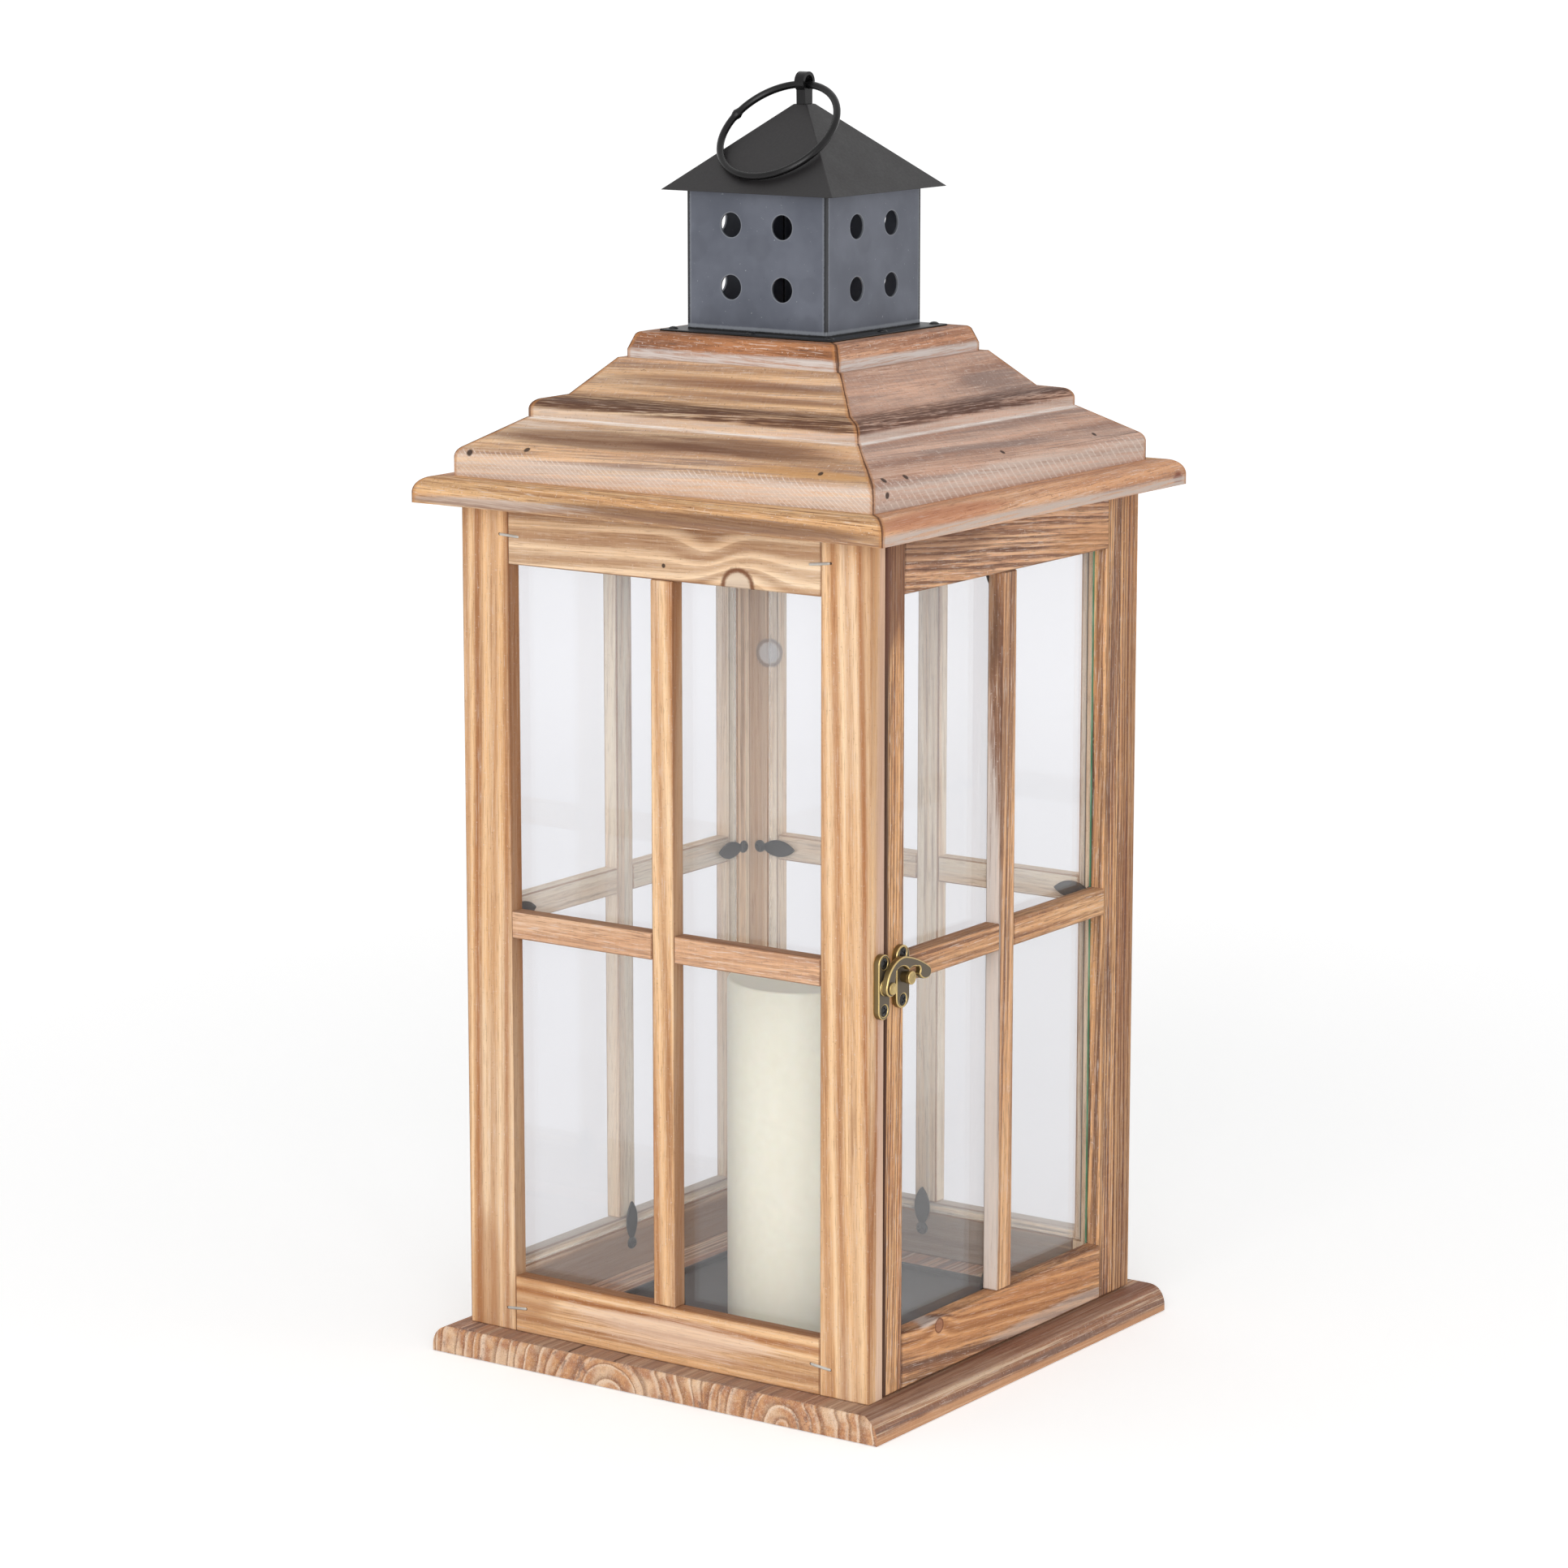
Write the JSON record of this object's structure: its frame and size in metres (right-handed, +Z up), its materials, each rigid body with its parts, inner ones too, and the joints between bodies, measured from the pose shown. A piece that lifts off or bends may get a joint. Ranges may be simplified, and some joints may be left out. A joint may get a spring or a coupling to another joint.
{
  "type": "hanging candle lantern",
  "caption": "Square wooden candle lantern with glazed panels, a latched side-hung door, a stepped roof, a vented sheet-metal chimney and a hanging ring.",
  "frame": {"origin": "middle of the base's underside", "axes": "+Z up, -Y out of the door, +X towards the hinge side"},
  "size_m": [0.2286, 0.2286, 0.5288],
  "materials": {
    "burnt_pine": "torched pine, matt oil",
    "clear_glass": "clear float glass",
    "slate_sheet": "satin slate grey",
    "dark_sheet": "satin dark brown black",
    "black_iron": "satin black",
    "black_clip": "satin black",
    "black_tray": "matt black",
    "antique_brass": "antique, bright edges and dark recesses",
    "dark_screw": "blackened",
    "ivory_wax": "smooth wax",
    "wick_cotton": "braided cotton"
  },
  "bodies": {
    "lantern_body": {"base_board": "burnt_pine", "left_stiles": "burnt_pine", "left_rails": "burnt_pine", "left_glazing_bars": "burnt_pine", "right_stiles": "burnt_pine", "right_rails": "burnt_pine", "right_glazing_bars": "burnt_pine", "back_stiles": "burnt_pine", "back_rails": "burnt_pine", "back_glazing_bars": "burnt_pine", "eave_boards": "burnt_pine", "lower_roof_mouldings": "burnt_pine", "upper_roof_mouldings": "burnt_pine", "cap_boards": "burnt_pine", "left_glass": "clear_glass", "right_glass": "clear_glass", "back_glass": "clear_glass", "candle_tray": "black_tray", "pillar_candle": "ivory_wax", "candle_wick": "wick_cotton", "chimney_box": "slate_sheet", "chimney_roof": "dark_sheet", "hanger_eye": "black_iron", "chimney_nails": "black_iron", "latch_plate": "antique_brass", "latch_rivet": "antique_brass", "latch_screws": "dark_screw", "hinge_frame_leaves": "antique_brass", "hinge_pins": "antique_brass", "hinge_frame_screws": "antique_brass", "panel_clip_screws": "dark_screw"},
    "door": {"door_stiles": "burnt_pine", "door_rails": "burnt_pine", "door_glazing_bars": "burnt_pine", "door_glass": "clear_glass", "keeper_plate": "antique_brass", "keeper_screws": "dark_screw", "hinge_door_leaves": "antique_brass", "hinge_door_screws": "antique_brass", "door_clip_screws": "dark_screw"},
    "hanging_ring": {"hanging_ring": "black_iron"},
    "latch_hook": {"latch_hook": "antique_brass"},
    "clip_left_back": {"clip_left_back": "black_clip"},
    "clip_left_front": {"clip_left_front": "black_clip"},
    "clip_left_bottom": {"clip_left_bottom": "black_clip"},
    "clip_left_top": {"clip_left_top": "black_clip"},
    "clip_right_front": {"clip_right_front": "black_clip"},
    "clip_right_back": {"clip_right_back": "black_clip"},
    "clip_right_bottom": {"clip_right_bottom": "black_clip"},
    "clip_right_top": {"clip_right_top": "black_clip"},
    "clip_back_right": {"clip_back_right": "black_clip"},
    "clip_back_left": {"clip_back_left": "black_clip"},
    "clip_back_bottom": {"clip_back_bottom": "black_clip"},
    "clip_back_top": {"clip_back_top": "black_clip"},
    "clip_door_left": {"clip_door_left": "black_clip"},
    "clip_door_right": {"clip_door_right": "black_clip"},
    "clip_door_bottom": {"clip_door_bottom": "black_clip"},
    "clip_door_top": {"clip_door_top": "black_clip"}
  },
  "joints": [
    {"name": "door_swing", "type": "hinge", "parent": "lantern_body", "child": "door", "pos_m": [0.102, -0.0898, 0.1844], "axis": [0, 0, 1], "range_deg": [0, 180]},
    {"name": "hanging_ring_swing", "type": "hinge", "parent": "lantern_body", "child": "hanging_ring", "pos_m": [0, 0, 0.5236], "axis": [0, 1, 0], "range_deg": [0, 266]},
    {"name": "latch_hook_turn", "type": "hinge", "parent": "lantern_body", "child": "latch_hook", "pos_m": [-0.0942, -0.1049, 0.181], "axis": [0, -1, 0], "range_deg": [0, 110]},
    {"name": "turn_clip_back_bottom", "type": "hinge", "parent": "lantern_body", "child": "clip_back_bottom", "pos_m": [0, 0.09, 0.0237], "axis": [0, -1, 0], "range_deg": [-90, 90]},
    {"name": "turn_clip_back_left", "type": "hinge", "parent": "lantern_body", "child": "clip_back_left", "pos_m": [-0.0843, 0.09, 0.1844], "axis": [0, -1, 0], "range_deg": [-90, 90]},
    {"name": "turn_clip_back_right", "type": "hinge", "parent": "lantern_body", "child": "clip_back_right", "pos_m": [0.0843, 0.09, 0.1844], "axis": [0, -1, 0], "range_deg": [-90, 90]},
    {"name": "turn_clip_back_top", "type": "hinge", "parent": "lantern_body", "child": "clip_back_top", "pos_m": [0, 0.09, 0.3451], "axis": [0, -1, 0], "range_deg": [-90, 90]},
    {"name": "turn_clip_door_bottom", "type": "hinge", "parent": "door", "child": "clip_door_bottom", "pos_m": [0, -0.09, 0.0237], "axis": [0, 1, 0], "range_deg": [-90, 90]},
    {"name": "turn_clip_door_left", "type": "hinge", "parent": "door", "child": "clip_door_left", "pos_m": [-0.0843, -0.09, 0.1844], "axis": [0, 1, 0], "range_deg": [-90, 90]},
    {"name": "turn_clip_door_right", "type": "hinge", "parent": "door", "child": "clip_door_right", "pos_m": [0.0843, -0.09, 0.1844], "axis": [0, 1, 0], "range_deg": [-90, 90]},
    {"name": "turn_clip_door_top", "type": "hinge", "parent": "door", "child": "clip_door_top", "pos_m": [0, -0.09, 0.3451], "axis": [0, 1, 0], "range_deg": [-90, 90]},
    {"name": "turn_clip_left_back", "type": "hinge", "parent": "lantern_body", "child": "clip_left_back", "pos_m": [-0.09, 0.0843, 0.1844], "axis": [1, 0, 0], "range_deg": [-90, 90]},
    {"name": "turn_clip_left_bottom", "type": "hinge", "parent": "lantern_body", "child": "clip_left_bottom", "pos_m": [-0.09, 0, 0.0237], "axis": [1, 0, 0], "range_deg": [-90, 90]},
    {"name": "turn_clip_left_front", "type": "hinge", "parent": "lantern_body", "child": "clip_left_front", "pos_m": [-0.09, -0.0843, 0.1844], "axis": [1, 0, 0], "range_deg": [-90, 90]},
    {"name": "turn_clip_left_top", "type": "hinge", "parent": "lantern_body", "child": "clip_left_top", "pos_m": [-0.09, 0, 0.3451], "axis": [1, 0, 0], "range_deg": [-90, 90]},
    {"name": "turn_clip_right_back", "type": "hinge", "parent": "lantern_body", "child": "clip_right_back", "pos_m": [0.09, 0.0843, 0.1844], "axis": [-1, 0, 0], "range_deg": [-90, 90]},
    {"name": "turn_clip_right_bottom", "type": "hinge", "parent": "lantern_body", "child": "clip_right_bottom", "pos_m": [0.09, 0, 0.0237], "axis": [-1, 0, 0], "range_deg": [-90, 90]},
    {"name": "turn_clip_right_front", "type": "hinge", "parent": "lantern_body", "child": "clip_right_front", "pos_m": [0.09, -0.0843, 0.1844], "axis": [-1, 0, 0], "range_deg": [-90, 90]},
    {"name": "turn_clip_right_top", "type": "hinge", "parent": "lantern_body", "child": "clip_right_top", "pos_m": [0.09, 0, 0.3451], "axis": [-1, 0, 0], "range_deg": [-90, 90]}
  ]
}
